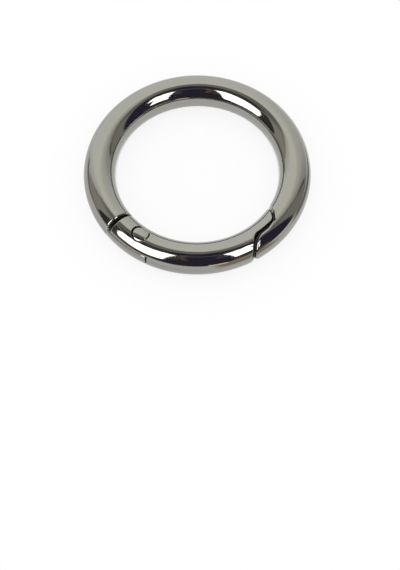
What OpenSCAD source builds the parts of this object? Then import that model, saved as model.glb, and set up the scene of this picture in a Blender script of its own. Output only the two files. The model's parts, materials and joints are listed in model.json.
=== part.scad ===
// Spring gate ring: a closed ring of round section whose front third is a gate. The gate swings inwards on a
// riveted hinge against a torsion spring, and its lipped nose laps inside the hook at the ring's open end.
//
// X runs to the right, Y away from the front and Z along the ring's axis. A bearing is an angle about Z, in
// degrees from the front (-Y), positive towards +X. The hinge lies left of the front, the nose right of it.

/* [Ring] */
// Clear diameter of the eye
eye_d = 25.4; // [20:0.1:40]
// Diameter of the round section
wire_d = 4.9; // [4.5:0.1:6.5]

/* [Hinge] */
// Bearing of the hinge, left of the front
hinge_bearing = 36; // [30:1:42]
// How far the hinge lies inside the centreline of the section
hinge_inset = 0.35; // [0:0.05:0.45]
// From the hinge to the gate's tail
tail_reach = 3.8; // [3.4:0.1:4.6]
// From the hinge to the floor of the gate's slot
floor_reach = 2.35; // [2.1:0.05:2.8]
// Gap between the gate's tail and the ring's shoulder
shoulder_gap = 0.45; // [0.3:0.05:0.8]
// Rounding of the ring's shoulder
shoulder_round = 0.4; // [0.2:0.05:0.6]
// Rounding of the gate's tail
tail_round = 0.2; // [0.1:0.05:0.3]
// Thickness of the tongue between the gate's cheeks
tongue_t = 2; // [1.8:0.1:2.3]
// Gap between the tongue and each cheek
cheek_gap = 0.1; // [0.06:0.02:0.16]
// Gap between the tongue's stops and the floor of the slot
stop_gap = 0.2; // [0.05:0.01:0.25]
// How far the gate swings
opening_angle = 30; // [20:1:35]

/* [Rivet] */
// Diameter of the rivet's shank
rivet_d = 1.6; // [1.4:0.05:1.7]
// Running gap around the shank in the tongue
rivet_gap = 0.05; // [0.02:0.01:0.08]
// Diameter of the rivet's heads
head_d = 2.46; // [2.2:0.02:2.6]
// Gap around each head in its recess
head_gap = 0.19; // [0.1:0.01:0.25]
// Cheek left under each head
head_seat_t = 0.6; // [0.4:0.05:0.7]
// How far the heads lie under the section's surface
head_sink = 0.03; // [0.02:0.01:0.06]

/* [Spring] */
// Diameter of the spring's wire
spring_wire_d = 0.35; // [0.25:0.05:0.4]
// Whole turns between the spring's legs
spring_turns = 2; // [1:1:2]
// Gap around the spring's coil and legs
spring_gap = 0.05; // [0.04:0.01:0.07]
// Length of the leg that is held in the tongue
fixed_leg = 2.3; // [1.6:0.1:2.6]
// Slant of the leg that bears on the gate, from the floor of the slot
moving_leg_slant = 35; // [28:1:40]

/* [Nose] */
// Bearing of the nose's tip, right of the front
nose_bearing = 48; // [42:1:56]
// Length of the gate's lip
lip_length = 2.9; // [2:0.1:4]
// How far the lap lies inside the centreline of the section
lap_inset = 0.15; // [0:0.05:0.4]
// Gap all along the seam of the nose
nose_gap = 0.42; // [0.3:0.01:0.5]
// Rounding of the hook's tip
hook_round = 2.5; // [1:0.1:3]
// Rounding of the gate's corner that faces the hook's tip
heel_round = 1; // [0.4:0.1:1.5]
// Rounding of the lip's outer corner
lip_round = 0.35; // [0.1:0.05:0.4]
// Radius of the relief in the hook's inner corner
relief_r = 0.2; // [0.15:0.05:0.3]

/* [Hidden] */
$fn = 96;

wire_r = wire_d / 2;
ring_r = eye_d / 2 + wire_r;
// How far cutting shapes reach, in plan: across the whole ring, and just clear of the section
far = 3 * ring_r;
clear_of_wire = 2 * wire_d;

// Hinge, in plan
hinge_r = ring_r - hinge_inset;
hinge = hinge_r * outward(-hinge_bearing);
tail_bearing = hinge_bearing + asin(tail_reach / hinge_r);
// The tongue springs from the whole section at its root, where the rounding of the shoulders starts
root_bearing = tail_bearing + arc_angle(shoulder_gap + shoulder_round);
floor_bearing = hinge_bearing - asin(floor_reach / hinge_r);
// Direction from the hinge square to the floor of the slot, as an angle from +X
floor_dir = -floor_bearing;

// Heights
slot_half = tongue_t / 2 + cheek_gap;
head_seat = slot_half + head_seat_t;

// Coil, measured from the hinge
coil_in_r = rivet_d / 2 + rivet_gap + spring_gap;
coil_r = coil_in_r + spring_wire_d / 2;
pocket_r = coil_in_r + spring_wire_d + spring_gap;
turn_gap = 0.03;
coil_pitch = spring_wire_d + turn_gap;
// Angles at which the moving leg leaves the coil and the fixed leg joins it
moving_end = floor_dir - moving_leg_slant;
fixed_end = -hinge_bearing - 90;
coil_sweep = moving_end - fixed_end + 360 * spring_turns;
coil_low = -tongue_t / 2 + spring_gap + spring_wire_d / 2;
coil_high = coil_low + coil_pitch * coil_sweep / 360;
pocket_top = coil_high + spring_wire_d / 2 + spring_gap;
// The moving leg's slot is cut this many gaps above the leg
leg_gaps = 3;
moving_leg_top = coil_low + spring_wire_d / 2 + leg_gaps * spring_gap;
// The moving leg ends where its side meets the floor of the slot
moving_leg = (floor_reach - spring_gap - spring_wire_d / 2 - coil_r * cos(moving_leg_slant))
    / sin(moving_leg_slant);
spring_sides = 8;
spring_step = 15;

// Nose: the radii of its end faces are struck from the hinge, so that the gate swings clear of the hook
lip_end_r = norm(ring_r * outward(nose_bearing) - hinge);
lap_start_r = lip_end_r - lip_length;
lap_r = ring_r - lap_inset;
// Bearing past which the ring carries on whole
nose_clear_bearing = nose_bearing + 30;
// The rivet is struck from a stretch of the section this many degrees to each side of it
head_sweep = 25;

// Unit vector that points out of the ring at a bearing
function outward(bearing) = [sin(bearing), -cos(bearing)];
// Unit vector at an angle from +X
function heading(angle) = [cos(angle), sin(angle)];
// Angle that a length along the centreline subtends
function arc_angle(length) = length / ring_r * 180 / PI;
// Point at distance a from the ring's centre and b from the hinge, on the nose's side
function meet(a, b) =
    let (
        along = (hinge_r * hinge_r + a * a - b * b) / (2 * hinge_r),
        aside = sqrt(a * a - along * along),
        dir = hinge / hinge_r
    )
    along * dir + aside * [-dir[1], dir[0]];

// Stretch of the ring's section from one bearing to another
module wire_arc(from, to, r = wire_r)
    rotate([0, 0, from - 90])
        rotate_extrude(angle = to - from)
            translate([ring_r, 0])
                circle(r);

// Rounded end of the section: it goes on from a bearing, towards higher bearings when side is 1
module wire_end(bearing, side, round)
    rotate([0, 0, bearing - 90])
        translate([ring_r, 0, 0])
            rotate([-side * 90, 0, 0])
                rotate_extrude() {
                    square([wire_r - round, round]);
                    translate([wire_r - round, 0])
                        intersection() {
                            circle(round);
                            square(round);
                        }
                }

// Plan shape drawn through the full height of the section
module through()
    translate([0, 0, -wire_d])
        linear_extrude(clear_of_wire)
            children();

// Sliver between a corner and its fillet of radius f, where the circle of radius a about the ring's centre
// meets the circle of radius b about the hinge. side is 1 where the fillet's centre lies outside both
// circles and -1 where it lies inside
module fillet_plan(a, b, f, side) {
    centre = meet(a + side * f, b + side * f);
    to_lap = -side * f * centre / norm(centre);
    to_end = -side * f * (centre - hinge) / norm(centre - hinge);
    translate(centre)
        difference() {
            polygon(1.2 * [[0, 0], to_lap, meet(a, b) - centre, to_end]);
            circle(f);
        }
}

// Plan of the gate up to its lipped nose, grown by a gap
module nose_plan(grow) {
    translate(hinge)
        circle(lap_start_r + grow);
    intersection() {
        translate(hinge)
            circle(lip_end_r + grow);
        circle(lap_r + grow);
    }
}

// What the hook gives way to: the gate's nose with the seam's gap, the relief in the hook's inner corner and
// the waste off the hook's tip
module nose_clearance()
    through() {
        intersection() {
            nose_plan(nose_gap);
            polygon([[0, 0], far * outward(0), far * outward(nose_clear_bearing)]);
        }
        translate(meet(lap_r + nose_gap, lip_end_r + nose_gap))
            circle(relief_r);
        fillet_plan(lap_r + nose_gap, lap_start_r + nose_gap, hook_round, 1);
    }

// Plan of the tongue, about the hinge: the floor of the slot meets its outer flat when the gate is shut
// and its inner flat when the gate is open
module tongue_plan() {
    reach = floor_reach - stop_gap;
    circle(reach);
    rotate(floor_dir)
        translate([-clear_of_wire, -clear_of_wire])
            square([clear_of_wire + reach, clear_of_wire]);
    rotate(floor_dir + opening_angle)
        translate([-clear_of_wire, 0])
            square([clear_of_wire + reach, clear_of_wire]);
}

// Space for the gate's cheeks, above and below the tongue, from the ring's rounded shoulders on
module cheek_space()
    difference() {
        for (side = [-1, 1])
            translate([0, 0, side * (tongue_t / 2 + wire_d)])
                linear_extrude(clear_of_wire, center = true)
                    polygon([[0, 0], far * outward(-root_bearing), far * outward(0)]);
        wire_end(-root_bearing, 1, shoulder_round);
    }

// Space past the tongue's end
module gate_space()
    through()
        difference() {
            polygon([[0, 0], far * outward(-hinge_bearing), far * outward(0)]);
            translate(hinge)
                tongue_plan();
        }

// Hollow in the tongue's underside for the spring: a round pocket, a groove for the fixed leg and room for
// the moving leg to swing through the opening angle
module spring_pocket() {
    below = -tongue_t;
    leg_half = spring_wire_d / 2 + spring_gap;
    shut = moving_end + 90;
    open = shut + opening_angle;
    translate([hinge[0], hinge[1], below]) {
        cylinder(r = pocket_r, h = pocket_top - below);
        linear_extrude(pocket_top - below)
            rotate(fixed_end)
                translate([coil_r - leg_half, -fixed_leg - spring_gap])
                    square([2 * leg_half, fixed_leg + spring_gap]);
        linear_extrude(moving_leg_top - below)
            polygon([
                [0, 0],
                (coil_r + leg_half) * heading(shut - 90),
                (coil_r + leg_half) * heading(shut - 90) + clear_of_wire * heading(shut),
                (coil_r - leg_half) * heading(open - 90) + clear_of_wire * heading(open),
                (coil_r - leg_half) * heading(open - 90)
            ]);
    }
}

// The ring's wire runs from the hook round the back to the tongue, and what the gate takes is cut from it
module ring_body()
    color("silver")
        difference() {
            wire_arc(0, 360);
            cheek_space();
            gate_space();
            nose_clearance();
            spring_pocket();
            translate([hinge[0], hinge[1], -wire_d])
                cylinder(d = rivet_d + 2 * rivet_gap, h = clear_of_wire);
        }

// Slot between the gate's cheeks
module gate_slot()
    translate([hinge[0], hinge[1], -slot_half])
        rotate([0, 0, floor_dir])
            translate([-clear_of_wire, -wire_d, 0])
                cube([clear_of_wire + floor_reach, clear_of_wire, 2 * slot_half]);

module gate()
    color("gainsboro")
        difference() {
            intersection() {
                union() {
                    wire_arc(-tail_bearing + arc_angle(tail_round), nose_clear_bearing);
                    wire_end(-tail_bearing + arc_angle(tail_round), -1, tail_round);
                }
                through()
                    difference() {
                        union() {
                            nose_plan(0);
                            fillet_plan(lap_r, lap_start_r, heel_round, 1);
                        }
                        fillet_plan(lap_r, lip_end_r, lip_round, -1);
                    }
            }
            gate_slot();
            translate([hinge[0], hinge[1], 0]) {
                cylinder(d = rivet_d, h = clear_of_wire, center = true);
                for (side = [-1, 1])
                    translate([0, 0, side * (head_seat + wire_d)])
                        cylinder(d = head_d + 2 * head_gap, h = clear_of_wire, center = true);
            }
        }

// Rivet with both heads closed, their faces dressed to the sweep of the section
module hinge_rivet()
    color("lightgray")
        intersection() {
            wire_arc(-hinge_bearing - head_sweep, -hinge_bearing + head_sweep, wire_r - head_sink);
            translate([hinge[0], hinge[1], 0]) {
                cylinder(d = rivet_d, h = clear_of_wire, center = true);
                for (side = [-1, 1])
                    translate([0, 0, side * (head_seat + wire_d)])
                        cylinder(d = head_d, h = clear_of_wire, center = true);
            }
        }

// Centreline of the spring: the fixed leg, the coil as it comes down around the rivet and the moving leg
function spring_path() =
    let (
        steps = ceil(coil_sweep / spring_step),
        start = coil_r * heading(fixed_end) - fixed_leg * heading(fixed_end + 90),
        finish = coil_r * heading(moving_end) + moving_leg * heading(moving_end + 90)
    )
    [
        [start[0], start[1], coil_high],
        for (i = [0:steps])
            let (turned = coil_sweep * i / steps)
                [
                    coil_r * cos(fixed_end + turned),
                    coil_r * sin(fixed_end + turned),
                    coil_high - coil_pitch * turned / 360
                ],
        [finish[0], finish[1], coil_low]
    ];

// Round wire swept along a path that never runs straight up
module swept_wire(path, d, sides) {
    last = len(path) - 1;
    rings = [
        for (i = [0:last])
            let (
                run = path[min(i + 1, last)] - path[max(i - 1, 0)],
                along = run / norm(run),
                level = cross([0, 0, 1], along),
                across = level / norm(level),
                up = cross(along, across)
            )
            for (k = [0:sides - 1])
                path[i] + d / 2 * (cos(360 * k / sides) * across + sin(360 * k / sides) * up)
    ];
    sides_faces = [
        for (i = [0:last - 1], k = [0:sides - 1])
            let (next = (k + 1) % sides)
                [i * sides + k, (i + 1) * sides + k, (i + 1) * sides + next, i * sides + next]
    ];
    caps = [
        [for (k = [0:sides - 1]) k],
        [for (k = [sides - 1:-1:0]) last * sides + k]
    ];
    polyhedron(rings, concat(sides_faces, caps));
}

module torsion_spring()
    color("dimgray")
        translate([hinge[0], hinge[1], 0])
            swept_wire(spring_path(), spring_wire_d, spring_sides);

ring_body();
gate();
hinge_rivet();
torsion_spring();
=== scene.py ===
import json
import math

import bpy
import numpy as np
from bpy.props import FloatProperty, FloatVectorProperty, IntProperty, PointerProperty
from mathutils import Matrix, Vector


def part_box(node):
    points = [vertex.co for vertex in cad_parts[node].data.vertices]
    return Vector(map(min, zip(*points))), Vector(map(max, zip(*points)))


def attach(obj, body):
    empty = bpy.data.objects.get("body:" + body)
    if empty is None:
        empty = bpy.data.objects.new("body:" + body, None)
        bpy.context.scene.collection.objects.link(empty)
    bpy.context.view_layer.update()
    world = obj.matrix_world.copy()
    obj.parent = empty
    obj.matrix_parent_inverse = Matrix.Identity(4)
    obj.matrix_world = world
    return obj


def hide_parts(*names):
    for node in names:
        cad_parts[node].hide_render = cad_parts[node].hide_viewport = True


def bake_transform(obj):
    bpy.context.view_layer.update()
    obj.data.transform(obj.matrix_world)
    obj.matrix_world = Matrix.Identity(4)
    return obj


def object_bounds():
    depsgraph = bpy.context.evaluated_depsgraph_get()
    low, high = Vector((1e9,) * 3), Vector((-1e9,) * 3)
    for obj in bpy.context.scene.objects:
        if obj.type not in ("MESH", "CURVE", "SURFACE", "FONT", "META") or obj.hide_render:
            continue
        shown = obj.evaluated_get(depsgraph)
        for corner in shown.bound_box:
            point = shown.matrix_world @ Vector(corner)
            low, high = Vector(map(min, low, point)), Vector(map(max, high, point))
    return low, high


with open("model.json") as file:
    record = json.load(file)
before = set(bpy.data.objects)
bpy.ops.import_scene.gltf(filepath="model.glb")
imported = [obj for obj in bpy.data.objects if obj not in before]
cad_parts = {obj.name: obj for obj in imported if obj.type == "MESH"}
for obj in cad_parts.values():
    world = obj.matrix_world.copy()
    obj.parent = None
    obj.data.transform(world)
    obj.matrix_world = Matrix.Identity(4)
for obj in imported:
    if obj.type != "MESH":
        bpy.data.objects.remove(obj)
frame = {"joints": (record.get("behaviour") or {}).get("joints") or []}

bl_info = {
    "name": "Spring Gate Ring",
    "version": (1, 0, 0),
    "blender": (4, 5, 0),
    "location": "3D View > Sidebar > Gate Ring",
    "description": "Builds a spring gate ring with its rivet and spring on the packed frame",
    "category": "Add Mesh",
}

MM = 0.001
CAD_LOW, CAD_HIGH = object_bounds()
WIRE = CAD_HIGH.z - CAD_LOW.z
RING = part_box("ring_body")[1].x - WIRE / 2
JOINT = frame["joints"][0]
HINGE = Vector(JOINT["pos_m"])
OPENING = math.radians(max(JOINT["range_deg"]))


def length(name, text, default):
    """A length in metres, given in millimetres."""
    return FloatProperty(name=name, description=text, default=default * MM, min=0,
                         unit="LENGTH", subtype="DISTANCE")


def angle(name, text, default):
    """An angle, given in degrees."""
    return FloatProperty(name=name, description=text, default=math.radians(default),
                         unit="ROTATION", subtype="ANGLE")


def colour(name, text, default):
    """A linear colour."""
    return FloatVectorProperty(name=name, description=text, default=default, size=3, min=0, soft_max=1,
                               subtype="COLOR")


def share(name, text, default):
    """A plain number from 0 to 1."""
    return FloatProperty(name=name, description=text, default=default, min=0, max=1, subtype="FACTOR")


class RingSizes(bpy.types.PropertyGroup):
    """Sizes of the wire, the hinge and the nose."""

    ring_radius: length("Ring radius", "From the ring's centre to the middle of its wire", RING / MM)
    wire_radius: length("Wire radius", "Half the thickness of the wire", WIRE / 2 / MM)
    tail_reach: length("Tail reach", "From the hinge to the gate's tail", 3.8)
    floor_reach: length("Floor reach", "From the hinge to the floor of the gate's slot", 2.35)
    shoulder_gap: length("Shoulder gap", "Gap between the gate's tail and the shoulder", 0.55)
    shoulder_round: length("Shoulder rounding", "Rounding of the shoulder", 0.3)
    tail_round: length("Tail rounding", "Rounding of the gate's tail", 0.2)
    tongue: length("Tongue", "Thickness of the tongue", 2)
    cheek_gap: length("Cheek gap", "Gap between the tongue and each cheek of the gate", 0.1)
    stop_gap: length("Stop gap", "Gap between the tongue's end and the floor of the slot", 0.24)
    lip_length: length("Lip length", "Length of the gate's lip", 2.9)
    lap_inset: length("Lap inset", "How far the lap lies inside the middle of the wire", 0.15)
    nose_bearing: angle("Nose bearing", "Bearing of the nose, from the front towards the right", 48)
    nose_gap: length("Nose gap", "Gap along the seam of the nose", 0.35)
    mouth_gap: length("Mouth gap", "How much wider the seam's end at the eye is", 0.08)
    hook_round: length("Hook rounding", "Rounding of the hook's tip", 1.07)
    heel_round: length("Heel rounding", "Rounding of the hollow that faces the hook's tip", 0.43)
    lip_round: length("Lip rounding", "Rounding of the lip's outer corner", 0.35)
    relief: length("Relief", "Radius of the relief in the hook's inner corner", 0.25)
    relief_inset: length("Relief inset", "From the corner's two faces to the middle of the relief", 0.15)
    edge: length("Edge rounding", "Rounding that polishing leaves on an edge", 0.09)
    seat_edge: length("Seat edge", "Rounding of the edge of the recess around the rivet's head", 0.072)
    hook_edge: length("Hook edge", "Rounding of the hook's edge along the seam", 0.55)
    tip_edge: length("Tip edge", "Rounding of the edge of the hook's tip", 0.55)
    ledge_gap: length("Ledge gap", "Gap between the ledges under the seam's rim", 0.1)
    ledge_depth: length("Ledge depth", "How deep the ledges lie under the wire's surface", 0.45)
    eye_ledge: length("Ledge depth at the eye", "How deep the ledges lie where the seam meets the eye", 0.1)
    lip_edge: length("Lip edge", "Rounding of the lip's edge at the eye", 0.3)
    tongue_sink: length("Tongue sink", "How far the tongue's rim lies inside the wire's surface", 0.05)
    tongue_round: length("Tongue rounding", "Rounding of the tongue's end", 0.16)
    root_fillet: length("Root fillet", "Hollow between the tongue and its shoulders", 0.08)
    pocket_edge: length("Pocket edge", "Rounding of the edge of the spring's hollow", 0.03)
    mesh_step: length("Mesh step", "Spacing of the mesh at the hinge and the nose", 0.07)
    long_step: angle("Long step", "Spacing of the mesh along the plain wire", 1.8)


class RivetSizes(bpy.types.PropertyGroup):
    """Sizes of the hinge rivet."""

    shank: length("Shank", "Radius of the rivet's shank", 0.8)
    bore_gap: length("Bore gap", "Gap between the shank and the tongue's bore", 0.05)
    head: length("Head", "Radius of the rivet's head", 1.25)
    head_gap: length("Head gap", "Gap around the rivet's head", 0.17)
    head_seat: length("Head seat", "Height of the seat under the rivet's head", 1.7)
    head_sink: length("Head sink", "How far the head's face lies inside the wire's surface", 0.03)
    head_round: length("Head rounding", "Rounding of the head's rim", 0.14)
    head_crown: length("Head crown", "Radius of the crown of the rivet's head", 8)
    crown_shift: length("Crown shift", "How far the crown's middle lies towards the eye", 0.6)
    overlap: length("Shank overlap", "How far the shank runs into each head", 0.1)


class SpringSizes(bpy.types.PropertyGroup):
    """Sizes of the torsion spring around the rivet."""

    wire: length("Wire", "Thickness of the spring's wire", 0.35)
    gap: length("Gap", "Gap between the spring and what is beside it", 0.05)
    turns: IntProperty(name="Turns", description="Whole turns of the coil", default=2, min=1, max=6)
    spare: length("Spare", "Gap between two turns", 0.03)
    fixed_leg: length("Fixed leg", "Length of the leg that bears on the ring", 2.3)
    leg_slant: angle("Leg slant", "Slant of the leg that bears on the gate", 35)
    sides: IntProperty(name="Sides", description="Faces around the spring's wire", default=16, min=6, max=48)
    coil_step: angle("Coil step", "Turn of the coil from one point of its path to the next", 6)


class Finishes(bpy.types.PropertyGroup):
    """Colours and polish of the metals, and the colour of the painted shade inside the joints."""

    plating: colour("Plating", "Colour of the black nickel plating", (0.335, 0.332, 0.305))
    rivet: colour("Rivet", "Colour of the rivet's plating", (0.335, 0.332, 0.305))
    spring: colour("Spring", "Colour of the spring's steel", (0.30, 0.30, 0.31))
    # The recess colour is painted shade, laid on the faces inside the joints and along the seam beside the
    # tongue
    recess: colour("Recess", "Colour of the plating inside the joints", (0.07, 0.068, 0.062))
    polish: share("Polish", "Roughness of the polished plating", 0.045)
    dull: share("Dull", "Roughness of the faces inside the joints", 0.22)


class StageSettings(bpy.types.PropertyGroup):
    """Floor, surroundings and camera."""

    floor: colour("Floor", "Colour of the floor", (0.9, 0.9, 0.9))
    floor_radius: length("Floor radius", "Radius of the floor", 3000)
    pale: colour("Surround", "Light of the pale surround", (1.17, 1.18, 1.22))
    olive: colour("Room", "Light of the room beside the lamps", (0.40, 0.39, 0.35))
    navy: colour("Dark card", "Light of the dark card above the camera", (0.045, 0.04, 0.075))
    lamp: FloatProperty(name="Lamps", description="Strength of the soft boxes", default=4.5, min=0)
    lift: share("Floor lift", "How far the floor is lifted to plain white", 0.84)
    level: FloatProperty(name="Level", description="Strength of the light on the floor", default=1.12, min=0)
    aim: FloatVectorProperty(name="Aim", description="Point that the camera looks at", subtype="TRANSLATION",
                             unit="LENGTH", size=3, default=(0.12186 * MM, -19.677 * MM, 0))
    distance: length("Distance", "From the camera to the point that it looks at", 246.279)
    elevation: angle("Elevation", "Height of the camera above the horizon", 62.683)
    roll: angle("Roll", "Turn of the camera about its line of sight", -0.996)
    lens: FloatProperty(name="Lens", description="Focal length", default=104.03, min=1, unit="CAMERA")


class RingSettings(bpy.types.PropertyGroup):
    """Everything a user may change."""

    sizes: PointerProperty(type=RingSizes)
    rivet: PointerProperty(type=RivetSizes)
    spring: PointerProperty(type=SpringSizes)
    finish: PointerProperty(type=Finishes)
    stage: PointerProperty(type=StageSettings)


# Shapes, as signed distances in millimetres

# Where a rounding or a ledge starts to change, and over what length
LEDGE_RISE = 0.4, 0.5  # from the lap towards the eye
LEDGE_STEP = 0.1  # from the rim's gap to the ledges' gap, along the depth
TIP_BLEND = -1.6, 1.2  # from the lap's start towards the hook's tip
CORNER_BLEND = 0.4, 1.2  # from the hook's inner corner
LIP_BLEND = 0.8, 1.2  # from the lap towards the eye, on the gate
LIP_ROOT = 1.0  # from the lap's start, where the lip's softer edge begins
ROOT_DEPTH = 0.15  # under the wire's surface, where the tongue's hollow is full


class Lengths:
    """The lengths of a property group in millimetres, its angles in radians."""

    def __init__(self, group):
        for key, prop in group.bl_rna.properties.items():
            if prop.type in ("FLOAT", "INT") and not getattr(prop, "is_array", False):
                value = getattr(group, key)
                setattr(self, key, value / MM if prop.unit == "LENGTH" else value)


def both(a, b, r=0.0):
    """Where two shapes overlap, with the edge between them rounded by r."""
    return np.minimum(-r, np.maximum(a, b)) + np.hypot(np.maximum(r + a, 0), np.maximum(r + b, 0))


def either(a, b, r=0.0):
    """Two shapes together, with a hollow of radius r between them."""
    return -both(-a, -b, r)


def fade(value, start, run):
    """0 up to a start and 1 from a run beyond it, straight between."""
    return np.clip((value - start) / run, 0, 1)


def outward(bearing):
    """Unit vector that points out of the ring at a bearing."""
    return np.array([math.sin(bearing), -math.cos(bearing)])


def heading(turn):
    """Unit vector at an angle from +X."""
    return np.array([math.cos(turn), math.sin(turn)])


class Plan:
    """The ring's plan: its hinge, its nose and the shapes that its pieces are cut from."""

    def __init__(self, settings):
        self.s = s = Lengths(settings.sizes)
        self.v = v = Lengths(settings.rivet)
        self.w = w = Lengths(settings.spring)
        self.hinge = np.array(HINGE[:2]) / MM
        self.hinge_r = math.hypot(*self.hinge)
        self.hinge_bearing = -math.atan2(self.hinge[0], -self.hinge[1])
        self.tail_bearing = self.hinge_bearing + math.asin(s.tail_reach / self.hinge_r)
        self.root_bearing = self.tail_bearing + (s.shoulder_gap + s.shoulder_round) / s.ring_radius
        self.floor_bearing = self.hinge_bearing - math.asin(s.floor_reach / self.hinge_r)
        self.floor_dir = -self.floor_bearing
        self.slot_half = s.tongue / 2 + s.cheek_gap
        self.lip_end = math.hypot(*(s.ring_radius * outward(s.nose_bearing) - self.hinge))
        self.lap_start = self.lip_end - s.lip_length
        self.lap = s.ring_radius - s.lap_inset
        coil_in = v.shank + v.bore_gap + w.gap
        self.coil = coil_in + w.wire / 2
        self.pocket = coil_in + w.wire + w.gap
        self.leg_shut = self.floor_dir - w.leg_slant
        self.leg_fixed = -self.hinge_bearing - math.pi / 2
        self.sweep = self.leg_shut - self.leg_fixed + 2 * math.pi * w.turns
        self.coil_low = -s.tongue / 2 + w.gap + w.wire / 2
        self.coil_high = self.coil_low + (w.wire + w.spare) * self.sweep / (2 * math.pi)
        run = s.floor_reach - w.gap - w.wire / 2 - self.coil * math.cos(w.leg_slant)
        self.moving_leg = run / math.sin(w.leg_slant)

    def wire(self, p, sink=0.0):
        """The whole ring's round section."""
        s = self.s
        return np.hypot(np.hypot(p[0], p[1]) - s.ring_radius, p[2]) - s.wire_radius + sink

    def past(self, p, bearing):
        """Distance past the radial plane at a bearing."""
        return p[0] * math.cos(bearing) + p[1] * math.sin(bearing)

    def from_hinge(self, p, turn=0.0):
        """Plan coordinates from the hinge, along and across a direction."""
        x, y = p[0] - self.hinge[0], p[1] - self.hinge[1]
        c, s = math.cos(turn), math.sin(turn)
        return c * x + s * y, c * y - s * x

    def meet(self, a, b):
        """Point at distance a from the ring's centre and b from the hinge, on the nose's side."""
        along = (self.hinge_r**2 + a * a - b * b) / (2 * self.hinge_r)
        aside = math.sqrt(a * a - along * along)
        d = self.hinge / self.hinge_r
        return along * d + aside * np.array([-d[1], d[0]])

    def hook(self, p):
        """The ring's end at the nose, with ledges under the seam's rim that close the view through it."""
        s = self.s
        wire = self.wire(p)
        rho = np.hypot(p[0], p[1])
        d = np.hypot(*self.from_hinge(p))
        ledge = s.ledge_depth + (s.eye_ledge - s.ledge_depth) * fade(self.lap - rho, *LEDGE_RISE)
        sunk = fade(-wire, ledge - LEDGE_STEP / 2, LEDGE_STEP)
        gap = s.nose_gap + (s.ledge_gap - s.nose_gap) * sunk
        tip = self.lap_start + gap - d
        end = self.lip_end + gap + s.mouth_gap * (1 - sunk) - d
        inner = np.minimum(end, self.lap + gap - rho)
        inset = s.nose_gap - s.relief_inset
        corner = self.meet(self.lap + inset, self.lip_end + inset)
        from_corner = np.hypot(p[0] - corner[0], p[1] - corner[1])
        inner = np.maximum(inner, s.relief * (1 - sunk) - from_corner)
        along = fade(from_corner, *CORNER_BLEND) * (1 - fade(self.lap - rho, *LEDGE_RISE))
        near_tip = fade(self.lap_start - d, *TIP_BLEND)
        rounding = s.edge + (s.hook_edge - s.edge) * along + (s.tip_edge - s.hook_edge) * near_tip
        return both(wire, both(tip, inner, s.hook_round), rounding)

    def tongue(self, p):
        """The ring's end at the hinge: shoulders, tongue, bore and the spring's pocket."""
        s, v = self.s, self.v
        wire = self.wire(p)
        shoulder = both(wire, self.past(p, -self.root_bearing) - s.shoulder_round, s.shoulder_round)
        ax, ay = self.from_hinge(p, self.floor_dir)
        bx, by = self.from_hinge(p, self.floor_dir + OPENING)
        d = np.hypot(ax, ay)
        reach = s.floor_reach - s.stop_gap
        end = np.minimum(d - reach, np.minimum(np.maximum(ax - reach, ay), np.maximum(bx - reach, -by)))
        slab = both(both(wire + s.tongue_sink, end, s.tongue_round), np.abs(p[2]) - s.tongue / 2, s.edge)
        solid = either(shoulder, slab, s.root_fillet * fade(-wire, 0, ROOT_DEPTH))
        cut = np.minimum(self.spring_room(p), d - v.shank - v.bore_gap)
        return both(solid, -cut, s.pocket_edge)

    def spring_room(self, p):
        """The hollow in the tongue for the coil, the fixed leg and the swing of the moving leg."""
        w = self.w
        half = w.wire / 2 + w.gap
        top = self.coil_high + half
        hollow = np.maximum(np.hypot(*self.from_hinge(p)) - self.pocket, p[2] - top)
        fx, fy = self.from_hinge(p, self.leg_fixed)
        run = (w.fixed_leg + w.gap) / 2
        groove = np.maximum(np.abs(fx - self.coil) - half, np.maximum(np.abs(fy + run) - run, p[2] - top))
        mx, my = self.from_hinge(p, self.leg_shut)
        ox = self.from_hinge(p, self.leg_shut + OPENING)[0]
        swing_top = self.coil_low + w.wire / 2 + 3 * w.gap
        aside = np.maximum(mx - self.coil - half, self.coil - half - ox)
        swing = np.maximum(aside, np.maximum(-my, p[2] - swing_top))
        return np.minimum(np.minimum(hollow, groove), swing)

    def body(self, p):
        """The ring's own wire, from the hook round the back to the tongue."""
        return np.where(p[0] > 0, self.hook(p), self.tongue(p))

    def gate(self, p):
        """The gate, from its forked tail to its lipped nose."""
        s, v = self.s, self.v
        rho = np.hypot(p[0], p[1])
        solid = both(self.wire(p), -self.past(p, -self.tail_bearing), s.tail_round)
        ax, ay = self.from_hinge(p, self.floor_dir)
        d = np.hypot(ax, ay)
        lip = both(d - self.lip_end, rho - self.lap, s.lip_round)
        bared = fade(self.lap - rho, *LIP_BLEND) * (d > self.lap_start + LIP_ROOT)
        nose = either(d - self.lap_start, lip, s.heel_round)
        solid = both(solid, nose, s.edge + (s.lip_edge - s.edge) * bared)
        walls = np.minimum(s.floor_reach - ax, self.slot_half - np.abs(p[2]))
        cheeks = both(solid, walls, s.edge)
        seat = np.minimum(v.head + v.head_gap - d, np.abs(p[2]) - v.head_seat)
        return both(both(cheeks, seat, s.seat_edge), v.shank - d)

    def rivet(self, p):
        """The rivet, its two heads dressed to the sweep of the wire."""
        v = self.v
        d = np.hypot(*self.from_hinge(p))
        high = self.hinge * (1 - v.crown_shift / self.hinge_r)
        from_high = (p[0] - high[0]) ** 2 + (p[1] - high[1]) ** 2
        crown = self.wire(p, v.head_sink) + from_high / (2 * v.head_crown)
        head = both(crown, d - v.head, v.head_round)
        head = np.maximum(head, v.head_seat - np.abs(p[2]))
        return np.minimum(head, np.maximum(d - v.shank, np.abs(p[2]) - v.head_seat - v.overlap))

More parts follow.
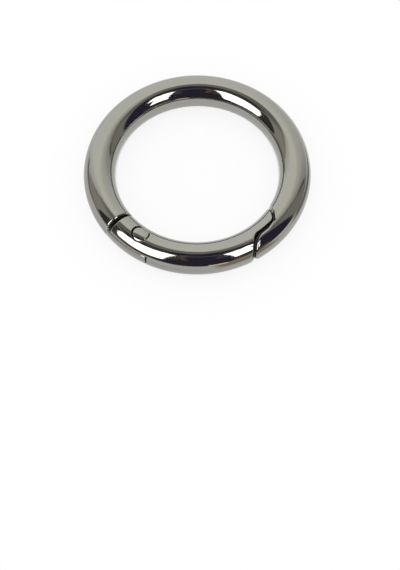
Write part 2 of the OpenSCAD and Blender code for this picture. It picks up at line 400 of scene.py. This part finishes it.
    def coil_path(self):
        """Middle line of the spring: the fixed leg, the coil and the moving leg."""
        w = self.w
        steps = int(math.ceil(self.sweep / w.coil_step))
        turned = np.linspace(0, self.sweep, steps + 1)
        drop = self.coil_high - (self.coil_high - self.coil_low) * turned / self.sweep
        at = self.leg_fixed + turned
        coil = np.stack([self.coil * np.cos(at), self.coil * np.sin(at), drop], 1)
        quarter = math.pi / 2
        start = self.coil * heading(self.leg_fixed) - w.fixed_leg * heading(self.leg_fixed + quarter)
        finish = self.coil * heading(self.leg_shut) + self.moving_leg * heading(self.leg_shut + quarter)
        path = np.concatenate([[[*start, self.coil_high]], coil, [[*finish, self.coil_low]]])
        path[:, :2] += self.hinge
        return path


# Meshes

# How a mesh settles on its shape: rounds, steps in millimetres and the least square of a slope
SETTLE_ROUNDS = 5
SETTLE_STEP = 0.002
NORMAL_STEP = 0.004
LEAST_SLOPE = 0.2
TINY = 1e-9

# The rounded ends of the spring's wire: millimetres along it, and share of its radius
WIRE_END = (0.0, 0.35), (0.02, 0.8), (0.08, 1.0)

# How far the lattice reaches past the wire, in steps, and the rivet's share of a step
LATTICE_MARGIN = 1.5
RIVET_STEP = 0.6

FLOOR_SIDES = 96


def crossing_net(shape, axes, place):
    """Points and quads where a shape's surface runs through a lattice."""
    grids = np.meshgrid(*axes, indexing="ij", sparse=True)
    value = np.broadcast_to(shape(place(*grids)), [len(a) for a in axes])
    inside = value < 0
    cells = tuple(len(a) - 1 for a in axes)
    stride = np.array([cells[1] * cells[2], cells[2], 1])
    owners, points, quads = [], [], []
    for axis in range(3):
        near = [slice(None)] * 3
        far = [slice(None)] * 3
        near[axis], far[axis] = slice(None, -1), slice(1, None)
        near, far = tuple(near), tuple(far)
        at = np.stack(np.nonzero(inside[near] != inside[far]), 1)
        a = value[near][tuple(at.T)]
        b = value[far][tuple(at.T)]
        spot = at.astype(float)
        spot[:, axis] += a / (a - b)
        one, two = (axis + 1) % 3, (axis + 2) % 3
        corners = []
        for i, j in ((-1, -1), (0, -1), (0, 0), (-1, 0)):
            cell = at.copy()
            cell[:, one] += i
            cell[:, two] += j
            corners.append(cell @ stride)
            points.append(spot)
        corners = np.stack(corners, 1)
        owners += list(corners.T)
        flip = a > 0
        corners[flip] = corners[flip][:, ::-1]
        quads.append(corners)
    owners, points, quads = np.concatenate(owners), np.concatenate(points), np.concatenate(quads)
    used, where = np.unique(owners, return_inverse=True)
    count = np.bincount(where)
    spots = np.stack([np.bincount(where, points[:, k]) / count for k in range(3)], 1)
    real = [np.interp(spots[:, k], np.arange(len(axes[k])), axes[k]) for k in range(3)]
    return np.stack(np.broadcast_arrays(*place(*real)), 0), np.searchsorted(used, quads)


def slope(shape, p, step):
    """Direction in which a shape's distance grows."""
    rows = []
    for k in range(3):
        ahead, behind = p.copy(), p.copy()
        ahead[k] += step
        behind[k] -= step
        rows.append(shape(ahead) - shape(behind))
    return np.stack(rows, 0) / (2 * step)


def skin(name, shape, axes, place, reach):
    """A mesh object on a shape's surface, with the shape's own normals."""
    p, quads = crossing_net(shape, axes, place)
    home = p.copy()
    for _ in range(SETTLE_ROUNDS):
        g = slope(shape, p, SETTLE_STEP)
        p = p - g * shape(p) / np.maximum((g * g).sum(0), LEAST_SLOPE)
        p = home + np.clip(p - home, -reach, reach)
    normals = slope(shape, p, NORMAL_STEP)
    normals /= np.maximum(np.linalg.norm(normals, axis=0), TINY)
    return mesh_object(name, p.T * MM, quads.tolist(), normals.T)


def mesh_object(name, points, faces, normals=None):
    """A smooth mesh object, with its own vertex normals where they are given."""
    mesh = bpy.data.meshes.new(name)
    mesh.from_pydata(points.tolist(), [], faces)
    mesh.validate()
    mesh.shade_smooth()
    if normals is not None:
        mesh.normals_split_custom_set_from_vertices(normals.tolist())
    obj = bpy.data.objects.new(name, mesh)
    bpy.context.scene.collection.objects.link(obj)
    return obj


def spaced(start, stop, step):
    """Values from start to stop, at most a step apart."""
    return np.linspace(start, stop, max(2, int(math.ceil(abs(stop - start) / step)) + 1))


def around(count):
    """Angles at even steps round a circle."""
    return np.arange(count) * 2 * math.pi / count


def ring_place(rho, bearing, z):
    """Point at a radius, bearing and height."""
    return rho * np.sin(bearing), -rho * np.cos(bearing), z


def straight_place(x, y, z):
    """Point at its own coordinates."""
    return x, y, z


def ring_axes(plan, stretches):
    """A lattice along the ring: stretches are (from, to, fine) in degrees of bearing."""
    s = plan.s
    half = s.wire_radius + LATTICE_MARGIN * s.mesh_step
    across = spaced(-half, half, s.mesh_step)
    rows = []
    for start, stop, fine in stretches:
        step = s.mesh_step / s.ring_radius if fine else s.long_step
        rows.append(spaced(math.radians(start), math.radians(stop), step)[:-1])
    rows.append([math.radians(stretches[-1][1])])
    return [s.ring_radius + across, np.concatenate(rows), across]


def swept(name, path, radius, sides):
    """A round wire along a path of points, its ends a little rounded."""
    run = np.gradient(path, axis=0)
    run /= np.linalg.norm(run, axis=1)[:, None]
    across = np.cross([0, 0, 1], run)
    across /= np.linalg.norm(across, axis=1)[:, None]
    up = np.cross(run, across)
    rows = [(path[0] + run[0] * along, 0, size) for along, size in WIRE_END]
    rows += [(path[i], i, 1.0) for i in range(1, len(path) - 1)]
    rows += [(path[-1] - run[-1] * along, -1, size) for along, size in reversed(WIRE_END)]
    turn = around(sides)
    points = []
    for centre, k, size in rows:
        spoke = np.cos(turn)[:, None] * across[k] + np.sin(turn)[:, None] * up[k]
        points.append(centre + radius * size * spoke)
    points = np.concatenate(points)
    i, k = np.meshgrid(np.arange(len(rows) - 1), np.arange(sides), indexing="ij")
    this, following, n = i * sides, (i + 1) * sides, (k + 1) % sides
    quads = np.stack([this + k, this + n, following + n, following + k], -1).reshape(-1, 4)
    caps = [list(range(sides))[::-1], list(range(len(points) - sides, len(points)))]
    return mesh_object(name, points * MM, quads.tolist() + caps)


# Materials

DEGREES = 180 / math.pi


class Value:
    """A number socket whose operators add Math nodes."""

    def __init__(self, tree, socket):
        self.tree, self.socket = tree, socket

    def __add__(self, other):
        return self.tree.math("ADD", self, other)

    def __sub__(self, other):
        return self.tree.math("SUBTRACT", self, other)

    def __rsub__(self, other):
        return self.tree.math("SUBTRACT", other, self)

    def __mul__(self, other):
        return self.tree.math("MULTIPLY", self, other)

    __radd__ = __add__
    __rmul__ = __mul__


class Tree:
    """A node tree, filled in by Python expressions."""

    def __init__(self, owner):
        owner.use_nodes = True
        self.nodes, self.links = owner.node_tree.nodes, owner.node_tree.links
        self.nodes.clear()

    def node(self, kind, settings=None, out=0, **sockets):
        """A node with its settings and its sockets, by name or by number. Returns the chosen output."""
        made = self.nodes.new(kind)
        for key, setting in (settings or {}).items():
            setattr(made, key, setting)
        for key, value in sockets.items():
            socket = made.inputs[int(key[1:]) if key[1:].isdigit() else key.replace("_", " ")]
            if isinstance(value, Value):
                self.links.new(value.socket, socket)
            else:
                socket.default_value = value
        return Value(self, made.outputs[out]) if len(made.outputs) else made

    def outputs(self, kind, names, **sockets):
        """A node's outputs of some names."""
        made = self.node(kind, **sockets).socket.node
        return [Value(self, made.outputs[name]) for name in names]

    def math(self, operation, *values):
        """A Math node."""
        sockets = {f"i{k}": v for k, v in enumerate(values)}
        return self.node("ShaderNodeMath", {"operation": operation}, **sockets)

    def size(self, value):
        """A number without its sign."""
        return self.math("ABSOLUTE", value)

    def hypot(self, a, b):
        """Length of a line that goes a one way and b across it."""
        return self.math("SQRT", a * a + b * b)

    def ramp(self, value, low, high):
        """0 below low, 1 above high, and smooth between them."""
        return self.node("ShaderNodeMapRange", {"interpolation_type": "SMOOTHSTEP"}, Value=value,
                         From_Min=low, From_Max=high)

    def under(self, value, low, high):
        """1 below low, 0 above high, and smooth between them."""
        return 1 - self.ramp(value, low, high)

    def between(self, value, rise, fall):
        """0 on both sides and 1 between a rise and a fall, each (from, to)."""
        return self.ramp(value, *rise) * self.under(value, *fall)

    def rises(self, value, shares):
        """Several ramps together, each (low, high, share)."""
        return sum(self.ramp(value, low, high) * share for low, high, share in shares)

    def above(self, value, start, rise):
        """0 up to a start, then a straight rise."""
        return self.math("MAXIMUM", value - start, 0) * rise

    def mix(self, factor, one, two):
        """A colour between two."""
        one = (*one, 1) if isinstance(one, tuple) else one
        two = (*two, 1) if isinstance(two, tuple) else two
        return self.node("ShaderNodeMix", {"data_type": "RGBA"}, out=2, i0=factor, i6=one, i7=two)

    def vector(self, x, y, z):
        """A vector from three numbers."""
        return self.node("ShaderNodeCombineXYZ", X=x, Y=y, Z=z)

    def noise(self, where, scale, detail, rough):
        """Plain noise from 0 to 1."""
        return self.node("ShaderNodeTexNoise", Vector=where, Scale=scale, Detail=detail, Roughness=rough)

    def place(self, name):
        """A texture coordinate and its three parts."""
        where = self.node("ShaderNodeTexCoord", out=name)
        return where, *self.outputs("ShaderNodeSeparateXYZ", "XYZ", Vector=where)

    def rays(self):
        """1 for a ray from the camera, and 1 for a ray from a gloss."""
        return self.outputs("ShaderNodeLightPath", ("Is Camera Ray", "Is Glossy Ray"))


def dim(tint, level):
    """A colour at a share of its strength."""
    return tuple(c * level for c in tint)


def grey(level, warm=0.0):
    """A grey, or a warm grey with more red and less blue."""
    return (level * (1 + warm), level, level * (1 - 2 * warm))


# The seam beside the tongue, with painted shade on the tongue's rim and in a line, and a painted warm
# reflection in a band between them: bearings from +X in degrees, and heights off the middle plane in
# millimetres
TONGUE_TURN = (-143, -142), (-119, -117)
# Towards the tongue's end the painted shade on its rim is left off in patches
UNSHADED_TURN = -121.5, -120
RIM = (0.84, 0.9), (1.04, 1.08)
BAND = (1.09, 1.12), (1.25, 1.28)
LINE = 1.31
LINE_FADE = 0.02, 0.05
# Colour of the painted warm reflection in the band
PAINTED_REFLECTION_TINT = (0.50, 0.41, 0.34)

# From the polished skin to the duller faces inside the joints, which carry painted shade, in millimetres of
# depth
SKIN_FADE = 0.18


def metal(name, settings, tint, haze=0.0, scratches=1.0, skin_depth=0.2):
    """Polished plating: faint waviness, fine lines round the ring, tiny specks, and duller faces inside the
    joints darkened with painted shade; along the seam beside the tongue, painted shade on a dull rim, a
    painted warm reflection in a band and a painted shade line."""
    material = bpy.data.materials.new(name)
    sizes, finish = settings.sizes, settings.finish
    tint, recess = tuple(tint), tuple(finish.recess)
    t = Tree(material)
    where, x, y, z = t.place("Object")
    rho = t.hypot(x, y)
    turn = t.math("ARCTAN2", y, x)
    depth = sizes.wire_radius - t.hypot(rho - sizes.ring_radius, z)
    inside = t.ramp(depth, skin_depth * MM, (skin_depth + SKIN_FADE) * MM)
    across, along = 9000, 26  # polishing lines in a metre across the wire, and in a radian along it
    lines = t.noise(t.vector(rho * across, turn * along, z * across), 1.0, 3, 0.6)
    cloud = t.noise(where, 420, 3, 0.55)
    specks = t.ramp(t.noise(where, 3600, 2, 0.5), 0.68, 0.74)
    waves = t.noise(where, 520, 1.5, 0.4) + t.noise(where, 2300, 2, 0.5) * 0.16
    worn = t.ramp(t.noise(where, 900, 4, 0.65), 0.35, 0.75)
    # Colour
    tone = t.mix(cloud * 0.35, tint, dim(tint, 0.86))
    # Painted shade: the faces inside the joints darken to the recess colour
    tone = t.mix(inside, tone, recess)
    tone = t.mix(specks * 0.35, tone, dim(tint, 0.5))
    # The seam beside the tongue: painted shade on the tongue's rim and in a line on the cheek, and a painted
    # warm reflection in a band on the cheek's edge
    on_tongue = t.between(turn * DEGREES, *TONGUE_TURN)
    level = t.size(z) * (1 / MM)
    # The painted shade on the rim is left off in patches at the tongue's end
    unshaded_end = t.ramp(turn * DEGREES, *UNSHADED_TURN) * t.ramp(t.noise(where, 3000, 2, 0.5), 0.4, 0.5)
    rim = on_tongue * t.between(level, *RIM) * (1 - unshaded_end)
    band = on_tongue * t.between(level, *BAND)
    line = on_tongue * t.under(t.size(level - LINE), *LINE_FADE)
    # Painted warm reflection in the band, then painted shade on the rim and in the line
    tone = t.mix(band * 0.7, tone, PAINTED_REFLECTION_TINT)
    tone = t.mix(t.math("MAXIMUM", rim, line) * 0.8, tone, recess)
    # Gloss and relief
    rough = finish.polish + haze + worn * 0.03 + t.ramp(lines, 0.5, 0.8) * 0.03 * scratches
    rough = rough + inside * finish.dull + specks * 0.1 + rim * 0.4 + band * 0.1
    height = waves + lines * 0.02 * scratches - specks * 0.04
    bump = t.node("ShaderNodeBump", Strength=1.0, Distance=4e-6, Height=height)
    shader = t.node("ShaderNodeBsdfPrincipled", Base_Color=tone, Roughness=rough, Metallic=1.0, Normal=bump)
    # Painted shade: a dark, dull shader mixed in over the faces inside the joints
    painted_shade = t.node("ShaderNodeBsdfPrincipled", Base_Color=(*dim(recess, 0.25), 1), Roughness=0.7)
    surface = t.node("ShaderNodeMixShader", i0=inside * 0.75, i1=shader, i2=painted_shade)
    t.node("ShaderNodeOutputMaterial", Surface=surface)
    return material


def spring_steel(name, tint, plan):
    """Drawn spring wire: fine lines along it and a slight brown stain."""
    material = bpy.data.materials.new(name)
    tint = tuple(tint)
    t = Tree(material)
    where, x, y, z = t.place("Object")
    dx, dy = x - float(plan.hinge[0]) * MM, y - float(plan.hinge[1]) * MM
    across, along = 22000, 3  # drawn lines in a metre across the wire, and in a radian of the coil
    spot = t.vector(t.hypot(dx, dy) * across, t.math("ARCTAN2", dy, dx) * along, z * across)
    lines = t.noise(spot, 1.0, 3, 0.6)
    stain = t.noise(where, 1500, 3, 0.6)
    tone = t.mix(t.ramp(stain, 0.4, 0.7) * 0.5, tint, (tint[0] * 0.75, tint[1] * 0.68, tint[2] * 0.6))
    tone = t.mix(t.ramp(lines, 0.55, 0.75) * 0.3, tone, dim(tint, 0.6))
    bump = t.node("ShaderNodeBump", Strength=0.6, Distance=6e-6, Height=lines)
    shader = t.node("ShaderNodeBsdfPrincipled", Base_Color=tone, Roughness=0.24 + lines * 0.16,
                    Metallic=1.0, Normal=bump)
    t.node("ShaderNodeOutputMaterial", Surface=shader)
    return material


# Pieces

# Degrees of bearing that the fine mesh takes in before and after the nose, and beyond the hinge's ends
BEFORE_NOSE, AFTER_NOSE = 21, 13
PAST_END, PAST_FLOOR = 1, 1.5


def settings_of(context):
    """The settings and the plan that they give."""
    settings = context.scene.gate_ring
    return settings, Plan(settings)


class RING_OT_body(bpy.types.Operator):
    """Builds the ring's own wire, from the hook round the back to the tongue"""

    bl_idname = "gate_ring.body"
    bl_label = "Ring Body"

    def execute(self, context):
        settings, plan = settings_of(context)
        nose = math.degrees(plan.s.nose_bearing)
        root = 360 - math.degrees(plan.root_bearing) - PAST_END
        floor = 360 - math.degrees(plan.floor_bearing) + PAST_FLOOR
        after = nose + AFTER_NOSE
        stretches = [(nose - BEFORE_NOSE, after, True), (after, root, False), (root, floor, True)]
        ring = skin("ring_wire", plan.body, ring_axes(plan, stretches), ring_place, plan.s.mesh_step)
        ring.data.materials.append(metal("black_nickel", settings, settings.finish.plating))
        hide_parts("ring_body")
        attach(ring, "ring")
        return {"FINISHED"}


class RING_OT_gate(bpy.types.Operator):
    """Builds the gate, from its forked tail to its lipped nose"""

    bl_idname = "gate_ring.gate"
    bl_label = "Gate"

    def execute(self, context):
        settings, plan = settings_of(context)
        nose = math.degrees(plan.s.nose_bearing)
        tail = -math.degrees(plan.tail_bearing) - PAST_END
        floor = -math.degrees(plan.floor_bearing) + PAST_FLOOR
        before = nose - BEFORE_NOSE
        stretches = [(tail, floor, True), (floor, before, False), (before, nose + AFTER_NOSE, True)]
        gate = skin("gate_wire", plan.gate, ring_axes(plan, stretches), ring_place, plan.s.mesh_step)
        gate.data.materials.append(metal("black_nickel_gate", settings, settings.finish.plating))
        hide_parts("gate")
        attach(gate, "swing_gate")
        return {"FINISHED"}


class RING_OT_rivet(bpy.types.Operator):
    """Builds the hinge rivet with both its heads closed"""

    bl_idname = "gate_ring.rivet"
    bl_label = "Hinge Rivet"

    def execute(self, context):
        settings, plan = settings_of(context)
        step = plan.s.mesh_step * RIVET_STEP
        half = plan.v.head + 2 * step
        tall = plan.s.wire_radius + step
        side = spaced(-half, half, step)
        axes = [side + plan.hinge[0], side + plan.hinge[1], spaced(-tall, tall, step)]
        rivet = skin("rivet_heads", plan.rivet, axes, straight_place, step)
        plating = metal("black_nickel_rivet", settings, settings.finish.rivet,
                        haze=0.02, scratches=2.0, skin_depth=0.3)
        rivet.data.materials.append(plating)
        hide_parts("hinge_rivet")
        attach(rivet, "swing_gate")
        return {"FINISHED"}


class RING_OT_spring(bpy.types.Operator):
    """Builds the torsion spring as it lies with the gate shut; the real spring winds up as the gate opens"""

    bl_idname = "gate_ring.spring"
    bl_label = "Torsion Spring"

    def execute(self, context):
        settings, plan = settings_of(context)
        half = plan.w.wire / 2
        spring = swept("coil_spring", plan.coil_path(), half, plan.w.sides)
        spring.data.materials.append(spring_steel("drawn_steel", settings.finish.spring, plan))
        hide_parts("torsion_spring")
        top, foot = (plan.coil_high - half) * MM, (plan.coil_low + half) * MM
        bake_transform(spring)
        return {"FINISHED"}


# Stage

# How the pale back comes in beyond its leaning left edge, and by bearing on the right: (low, high, share)
LEFT_EDGE = (-1.5, 2.5, 0.55), (0, 20, 0.45)
RIGHT_EDGE = (112, 117, 0.28), (115, 142, 0.42), (140, 178, 0.3)

# The lean of the back's left edge, and the left lamp's slanting top and foot: (start, rise) in degrees
BACK_LEFT = 118
BACK_LEAN = (40, 0.5), (52, 0.9), (61, 1.5)
LAMP_TOP, LAMP_TOP_FALL = 67.5, (45, 0.52)
LAMP_FOOT, LAMP_FOOT_LEFT, LAMP_FOOT_RIGHT = 15.5, (69, 3), (-42, 0.5)
LAMP_FOOT_MOST = 51
LAMP_SIDES = (-91, -87), (-30, -28)

RAGGED = 4  # degrees by which noise moves an edge

# Cards: bearings of their sides, heights of their ends, softness and raggedness, all in degrees, and light,
# which at the back is a share of the room's
BACK_CARDS = (
    (105, 109, 24, 75, 1, 4, 0.8),  # post at the right end of the back
    (110, 113.5, 15, 40, 1, 2, 0.42),  # gap beside the post
    (-127, -97, -3, 9, 2, 4, 0.85),  # low end of the table on the left
)
FRONT_CARDS = (
    (-89, -28, -3, 13, 1, 4, grey(0.19, 0.1)),  # table on the left
    (-52, -28, 3, 13, 1, 4, grey(0.07, 0.05)),  # shade on it
    (27, 58, -3, 14, 2, 4, grey(0.17, 0.15)),  # table on the right
    (28, 36, 8, 22, 2, 4, grey(0.12, 0.2)),  # stand of the right lamp
    (-28, 24, -3, 6, 2, 4, grey(0.11, 0.08)),  # table in front
    (-96, -80, -3, 6, 1, 4, (0.3, 0.29, 0.22)),  # its left corner
    (-93, -74, 8, 26, 1.5, 5, grey(0.055, 0.1)),  # foot of the screen left of the left lamp
    (-93.5, -74, 20, 52, 1.5, 3, grey(0.07, 0.03)),  # middle of the screen
    (-101, -77, 58, 80, 2, 4, grey(0.09, 0.05)),  # top of the screen
    (-26, -14, 38, 68, 4, 4, grey(0.11, 0.06)),  # grey cast right of the left lamp
    (-20, -10, 14, 60, 5, 4, (0.06, 0.04, 0.05)),  # dark cast right of it
    (-82, 60, 68, 74, 2, 4, grey(0.14)),  # bar above the lamps
)
# A leaning streak and a smear of warm light in the dark between the lamps
STREAK_BEARING, STREAK_HEIGHT, STREAK_LEAN = -16.5, 56, 0.29
STREAK_LIGHT = (0.34, 0.25, 0.26)
SMEAR = (17, 27, 44, 66, 3, 8)
SMEAR_LIGHT = (0.2, 0.14, 0.16)
RIGHT_LAMP = (30.5, 50, 27, 66), (44, 60, 50, 64)
GLOWS = (
    (24, 46, -2, 5, 1.5, 5, (0.72, 0.6, 0.52)),  # lit edge of the table on the right
    (8, 23, -2, 6, 1, 4, (1.7, 1.4, 1.2)),  # bright end of it
)


def surround(scene, stage):
    """White to the camera, level light on the floor, and in a gloss a pale back, a dim room beside it, and
    a dark front with two soft boxes and cards."""
    world = bpy.data.worlds.new("studio")
    scene.world = world
    t = Tree(world)
    where, x, y, z = t.place("Generated")
    bearing = t.math("ARCTAN2", x, y * -1) * DEGREES
    height = t.math("ARCSINE", z) * DEGREES
    side = t.size(bearing)
    wander = t.noise(where, 7, 3, 0.6) - 0.5
    navy, olive, pale = (tuple(c) for c in (stage.navy, stage.olive, stage.pale))
    lamp = grey(stage.lamp)

    def card(left, right, low, high, soft=1, ragged=RAGGED):
        """1 inside a card that hangs between two bearings and two heights, in degrees."""
        b, h = bearing + wander * ragged, height + wander * ragged
        return (t.between(b, (left - soft, left + soft), (right - soft, right + soft))
                * t.between(h, (low - soft, low + soft), (high - soft, high + soft)))

    def patches(scale):
        """Uneven patches, 0 or 1."""
        return t.ramp(t.noise(where, scale, 3, 0.6), 0.4, 0.6)

    # Behind: the room, the pale back before it, a dim line down its edge and the dark overhead
    room = t.mix(t.ramp(bearing * -1, 60, 90), olive, dim(olive, 1.33))
    room = t.mix(t.ramp(height, 46, 62), room, dim(olive, 0.72))
    back = t.mix(t.ramp(height, 12, 55), pale, (pale[0] * 1.04, pale[1] * 1.02, pale[2] * 0.91))
    lean = sum(t.above(height, start, rise) for start, rise in BACK_LEAN)
    beyond = bearing * -1 - (lean + BACK_LEFT) + wander * 3
    light = t.mix(t.rises(beyond, LEFT_EDGE) + t.rises(bearing, RIGHT_EDGE), room, back)
    light = t.mix(t.ramp(height, 69, 77), light, dim(olive, 0.84))
    for *place, level in BACK_CARDS:
        light = t.mix(card(*place), light, dim(olive, level))
    rim = t.under(t.size(beyond + 3.5), 1.5, 3.5) * t.ramp(height, 28, 36)
    light = t.mix(rim * 0.7, light, olive)
    light = t.mix(t.ramp(height, 78, 88) * t.under(side, 100, 140), light, grey(0.1))
    # In front: the dark card with what hangs before it, then the lamps
    light = t.mix(t.under(side, 82, 88), light, navy)
    for *place, tint in FRONT_CARDS:
        light = t.mix(card(*place), light, tint)
    b, h = bearing + wander * RAGGED, height + wander * RAGGED
    off = t.size(b - STREAK_BEARING + (h - STREAK_HEIGHT) * STREAK_LEAN)
    streak = t.under(off, 1, 3.5) * t.ramp(h, 40, 44) * patches(22)
    light = t.mix(streak, light, STREAK_LIGHT)
    light = t.mix(card(*SMEAR) * patches(30), light, SMEAR_LIGHT)
    # The left lamp slants at its top and its foot and is worn towards its left side
    over = h - LAMP_TOP + t.above(b * -1, *LAMP_TOP_FALL)
    foot = t.math("MINIMUM", t.above(b * -1, *LAMP_FOOT_LEFT) + LAMP_FOOT, LAMP_FOOT_MOST)
    below = foot + t.above(b, *LAMP_FOOT_RIGHT) - h
    left_lamp = t.between(b, *LAMP_SIDES) * t.under(over, -1, 1) * t.under(below, -1, 1)
    worn = t.ramp(t.noise(where, 16, 3, 0.7), 0.42, 0.58)
    dimmed = t.mix(worn, (lamp[0] * 0.4368, lamp[1] * 0.42, lamp[2] * 0.3612), lamp)
    light = t.mix(left_lamp, light, t.mix(t.ramp(b, -82, -66), dimmed, lamp))
    for place in RIGHT_LAMP:
        light = t.mix(card(*place), light, lamp)
    for *place, tint in GLOWS:
        light = t.mix(card(*place), light, tint)
    # Only a gloss sees all this
    camera, glossy = t.rays()
    light = t.mix(glossy, grey(stage.level), light)
    light = t.mix(camera, light, grey(1.0))
    t.node("ShaderNodeOutputWorld", Surface=t.node("ShaderNodeBackground", Color=light, Strength=1.0))


def floor_disc(stage):
    """A plain pale floor under the ring, with dark and brown cards on it that only a gloss picks up."""
    turn = around(FLOOR_SIDES)
    r = stage.floor_radius
    points = np.stack([r * np.cos(turn), r * np.sin(turn), 0 * turn + CAD_LOW.z], 1)
    floor = mesh_object("floor", points, [list(range(FLOOR_SIDES))])
    material = bpy.data.materials.new("pale_floor")
    t = Tree(material)
    camera, glossy = t.rays()
    _, x, y, _ = t.place("Object")
    x, y = x * (1 / MM), y * (1 / MM)
    rho = t.hypot(x, y)
    bearing = t.math("ARCTAN2", x, y * -1) * DEGREES
    ring = RING / MM
    # What a gloss sees: the floor near the ring, the table's end, a dark card and a brown one
    near = glossy * t.between(rho, (ring, ring + 1), (ring + 5, ring + 14))
    right = t.ramp(x, -8, 8)
    table_end = glossy * t.between(bearing, (-127, -122), (-100, -95)) * t.ramp(rho, 46, 62)
    dark = t.ramp(x, 22, 26) * t.under(t.size(y), 9, 14)
    brown = t.between(bearing, (7, 15), (46, 58)) * t.ramp(rho, 21.5, 26.5)
    tint = t.mix(near * right * t.ramp(y, -2, 8), grey(1.0), grey(1.28))
    tint = t.mix(near * (1 - right), tint, (0.88, 0.88, 0.9))
    tint = t.mix(table_end, tint, (0.42, 0.41, 0.36))
    tint = t.mix(glossy * dark * 0.85, tint, (0.1, 0.1, 0.11))
    tint = t.mix(glossy * brown, tint, (0.43, 0.34, 0.27))
    # The floor is lifted to white, but not where the ring meets it or shades it
    away = t.ramp(t.size(rho - ring), 1.0, 3.2)
    # The camera sees past the ring's top to a strip of floor that lies a little behind it
    slid = y - CAD_HIGH.z / MM / math.tan(stage.elevation)
    clear = t.ramp(t.size(t.hypot(x, slid) - ring), 2.1, 2.6)
    lifted = t.math("MAXIMUM", camera * clear, glossy * away) * stage.lift
    lifted = t.math("MAXIMUM", lifted, glossy * t.math("MAXIMUM", dark, brown) * 0.9)
    shaded = t.node("ShaderNodeBsdfDiffuse", Color=(*stage.floor, 1))
    bright = t.node("ShaderNodeEmission", Color=tint, Strength=1.0)
    surface = t.node("ShaderNodeMixShader", i0=lifted, i1=shaded, i2=bright)
    t.node("ShaderNodeOutputMaterial", Surface=surface)
    floor.data.materials.append(material)


def place_camera(scene, stage):
    """The camera, looking down at the ring from the front."""
    data = bpy.data.cameras.new("camera")
    data.lens = stage.lens
    data.clip_start, data.clip_end = 0.01, 20
    camera = bpy.data.objects.new("camera", data)
    scene.collection.objects.link(camera)
    back = Vector((0, -math.cos(stage.elevation), math.sin(stage.elevation)))
    right = Vector((1, 0, 0))
    up = back.cross(right)
    c, s = math.cos(stage.roll), math.sin(stage.roll)
    right, up = c * right + s * up, c * up - s * right
    turn = Matrix((right, up, back)).transposed().to_4x4()
    camera.matrix_world = Matrix.Translation(Vector(stage.aim) + back * stage.distance) @ turn
    scene.camera = camera


class RING_OT_stage(bpy.types.Operator):
    """Sets up the floor, the surrounding light and the camera"""

    bl_idname = "gate_ring.stage"
    bl_label = "Stage"

    def execute(self, context):
        scene, stage = context.scene, context.scene.gate_ring.stage
        scene.view_settings.view_transform = "Standard"
        surround(scene, stage)
        floor_disc(stage)
        place_camera(scene, stage)
        return {"FINISHED"}


OPERATORS = (RING_OT_body, RING_OT_gate, RING_OT_rivet, RING_OT_spring, RING_OT_stage)


class RING_PT_panel(bpy.types.Panel):
    """Lists the sizes, the finishes and the pieces"""

    bl_idname = "RING_PT_panel"
    bl_label = "Spring Gate Ring"
    bl_space_type = "VIEW_3D"
    bl_region_type = "UI"
    bl_category = "Gate Ring"

    def draw(self, context):
        settings = context.scene.gate_ring
        for group in (settings.sizes, settings.rivet, settings.spring, settings.finish, settings.stage):
            box = self.layout.box()
            for key in group.__annotations__:
                box.prop(group, key)
        for operator in OPERATORS:
            self.layout.operator(operator.bl_idname)


GROUPS = (RingSizes, RivetSizes, SpringSizes, Finishes, StageSettings, RingSettings)
CLASSES = (*GROUPS, *OPERATORS, RING_PT_panel)


def register():
    for c in CLASSES:
        bpy.utils.register_class(c)
    bpy.types.Scene.gate_ring = PointerProperty(type=RingSettings)


def unregister():
    del bpy.types.Scene.gate_ring
    for c in reversed(CLASSES):
        bpy.utils.unregister_class(c)


def main():
    register()
    bpy.ops.gate_ring.body()
    bpy.ops.gate_ring.gate()
    bpy.ops.gate_ring.rivet()
    bpy.ops.gate_ring.spring()
    bpy.ops.gate_ring.stage()


if __name__ == "__main__":
    main()
